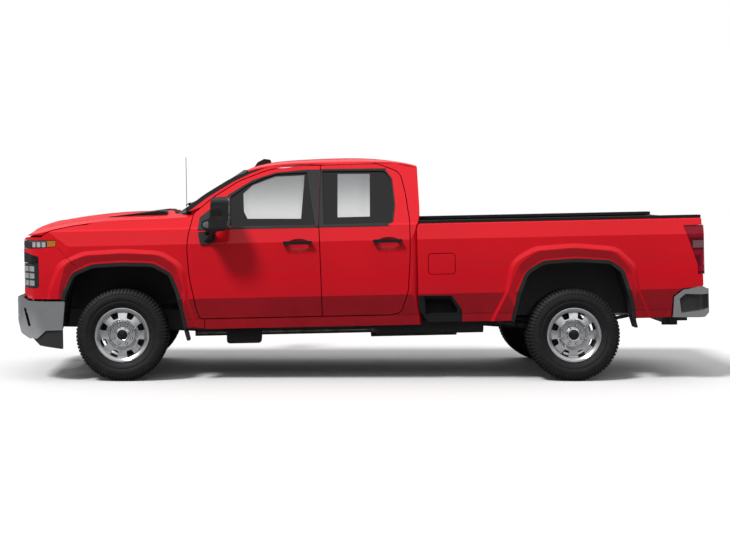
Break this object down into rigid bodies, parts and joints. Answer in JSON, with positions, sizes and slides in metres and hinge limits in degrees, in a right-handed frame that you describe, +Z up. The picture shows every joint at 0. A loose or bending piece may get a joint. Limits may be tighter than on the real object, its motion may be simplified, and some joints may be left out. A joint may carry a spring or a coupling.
{
  "type": "full-size heavy-duty pickup truck",
  "caption": "Red extended-cab heavy-duty pickup truck with long load bed, chrome bumpers, black arch mouldings and tow mirrors; doors, hood, tailgate and wheels move.",
  "frame": {"origin": "on the ground under the middle of the truck's bounding box", "axes": "+X forward, +Y to the truck's left, +Z up"},
  "size_m": [6.5106, 2.6812, 2.0821],
  "materials": {
    "chassis_black": "satin black coating",
    "cast_metal": "rough casting",
    "exhaust_steel": "dull steel",
    "tank_plastic": "moulded",
    "radiator": "dark fins",
    "carpet": "short pile",
    "red_paint": "gloss red with clear coat",
    "glass": "lightly tinted",
    "dash_plastic": "grained",
    "seat_cloth": "dark woven cloth",
    "black_gloss": "gloss black",
    "lamp_clear": "clear lens",
    "chrome": "bright plated",
    "bed_liner": "sprayed liner",
    "lamp_red": "red lens",
    "black_plastic": "grained black",
    "tyre": "worn rubber",
    "wheel_silver": "silver painted"
  },
  "bodies": {
    "root": {"frame": "chassis_black", "engine": "cast_metal", "exhaust": "exhaust_steel", "fuel_tank": "tank_plastic", "radiator": "radiator", "cab_floor": "carpet", "cab_shell": "red_paint", "roof": "red_paint", "cab_glass": "glass", "dashboard": "dash_plastic", "seats": "seat_cloth", "fenders": "red_paint", "grille": "black_gloss", "headlamps": "lamp_clear", "front_bumper": "chrome", "bed_sides": "red_paint", "bed_floor": "bed_liner", "tail_lamps": "lamp_red", "rear_bumper": "chrome", "arch_mouldings": "black_plastic", "antenna": "black_plastic", "rear_axle": "chassis_black", "suspension": "chassis_black"},
    "hood": {"hood": "red_paint"},
    "tailgate": {"tailgate": "red_paint"},
    "fuel_door": {"fuel_door": "red_paint"},
    "steering_wheel": {"steering_wheel": "dash_plastic"},
    "door_front_left": {"door_front_left": "red_paint", "glass_front_left": "glass", "mirror_left": "black_plastic"},
    "door_rear_left": {"door_rear_left": "red_paint", "glass_rear_left": "glass"},
    "knuckle_left": {"knuckle_left": "cast_metal"},
    "door_front_right": {"door_front_right": "red_paint", "glass_front_right": "glass", "mirror_right": "black_plastic"},
    "door_rear_right": {"door_rear_right": "red_paint", "glass_rear_right": "glass"},
    "knuckle_right": {"knuckle_right": "cast_metal"},
    "wheel_front_left": {"tyre_front_left": "tyre", "rim_front_left": "wheel_silver"},
    "wheel_front_right": {"tyre_front_right": "tyre", "rim_front_right": "wheel_silver"},
    "wheel_rear_left": {"tyre_rear_left": "tyre", "rim_rear_left": "wheel_silver"},
    "wheel_rear_right": {"tyre_rear_right": "tyre", "rim_rear_right": "wheel_silver"}
  },
  "joints": [
    {"name": "door_front_left_hinge", "type": "hinge", "parent": "root", "child": "door_front_left", "pos_m": [1.56109, 1.031, 1.01374], "axis": [-0.0209, 0, -0.9998], "range_deg": [0, 68]},
    {"name": "door_rear_left_hinge", "type": "hinge", "parent": "root", "child": "door_rear_left", "pos_m": [0.35635, 1.031, 1.03897], "axis": [-0.0209, 0, -0.9998], "range_deg": [0, 72]},
    {"name": "steer_left", "type": "hinge", "parent": "root", "child": "knuckle_left", "pos_m": [2.2065, 0.76, 0.421], "axis": [0, 0, 1], "range_deg": [-34, 34]},
    {"name": "door_front_right_hinge", "type": "hinge", "parent": "root", "child": "door_front_right", "pos_m": [1.56109, -1.031, 1.01374], "axis": [0.0209, 0, 0.9998], "range_deg": [0, 68]},
    {"name": "door_rear_right_hinge", "type": "hinge", "parent": "root", "child": "door_rear_right", "pos_m": [0.35635, -1.031, 1.03897], "axis": [0.0209, 0, 0.9998], "range_deg": [0, 72]},
    {"name": "steer_right", "type": "hinge", "parent": "root", "child": "knuckle_right", "pos_m": [2.2065, -0.76, 0.421], "axis": [0, 0, 1], "range_deg": [-34, 34]},
    {"name": "roll_front_left", "type": "hinge", "parent": "knuckle_left", "child": "wheel_front_left", "pos_m": [2.2065, 0.872, 0.421], "axis": [0, 1, 0], "continuous": true},
    {"name": "roll_front_right", "type": "hinge", "parent": "knuckle_right", "child": "wheel_front_right", "pos_m": [2.2065, -0.872, 0.421], "axis": [0, 1, 0], "continuous": true},
    {"name": "roll_rear_left", "type": "hinge", "parent": "root", "child": "wheel_rear_left", "pos_m": [-1.9205, 0.872, 0.421], "axis": [0, 1, 0], "continuous": true},
    {"name": "roll_rear_right", "type": "hinge", "parent": "root", "child": "wheel_rear_right", "pos_m": [-1.9205, -0.872, 0.421], "axis": [0, 1, 0], "continuous": true},
    {"name": "hood_hinge", "type": "hinge", "parent": "root", "child": "hood", "pos_m": [1.56859, 0, 1.5627], "axis": [0, -1, 0], "range_deg": [0, 50]},
    {"name": "tailgate_hinge", "type": "hinge", "parent": "root", "child": "tailgate", "pos_m": [-3.05361, 0, 0.93336], "axis": [0, -1, 0], "range_deg": [0, 90]},
    {"name": "fuel_door_hinge", "type": "hinge", "parent": "root", "child": "fuel_door", "pos_m": [-0.59415, 1.031, 1.07289], "axis": [-0.0209, 0, -0.9998], "range_deg": [0, 100]},
    {"name": "steering_wheel_turn", "type": "hinge", "parent": "root", "child": "steering_wheel", "pos_m": [1.03669, 0.43, 1.28678], "axis": [-0.8894, 0, 0.4571], "range_deg": [-510, 510]}
  ],
  "couplings": [
    {"joint": "steer_right", "follows": "steer_left", "ratio": 1},
    {"joint": "steering_wheel_turn", "follows": "steer_left", "ratio": 15}
  ]
}
